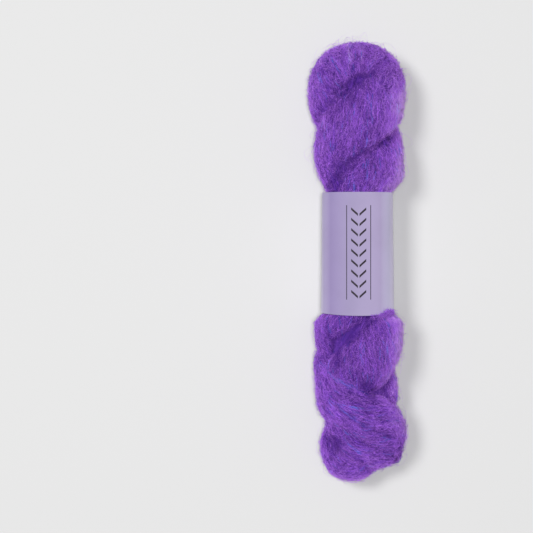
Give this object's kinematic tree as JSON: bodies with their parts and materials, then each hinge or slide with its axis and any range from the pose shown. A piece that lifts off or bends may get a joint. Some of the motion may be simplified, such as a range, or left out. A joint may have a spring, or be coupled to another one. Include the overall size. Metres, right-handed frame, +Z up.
{
  "type": "twisted hank of alpaca yarn with a paper band",
  "caption": "Hank of brushed alpaca yarn, folded over at its top end and twisted on itself, with its other end tucked in and a plain paper band round its waist.",
  "frame": {"origin": "on the surface that the hank lies on, under the middle of its length and width", "axes": "+Y along the hank from its tucked end to its round fold, +Z up from the surface, +X to the right seen from above with the fold at the top"},
  "size_m": [0.0586, 0.2592, 0.0398],
  "materials": {
    "yarn": "brushed and fuzzy, matte",
    "band_paper": "smooth vellum paper, matte to satin"
  },
  "bodies": {
    "root": {"hank": "yarn", "band": "band_paper"}
  },
  "joints": []
}
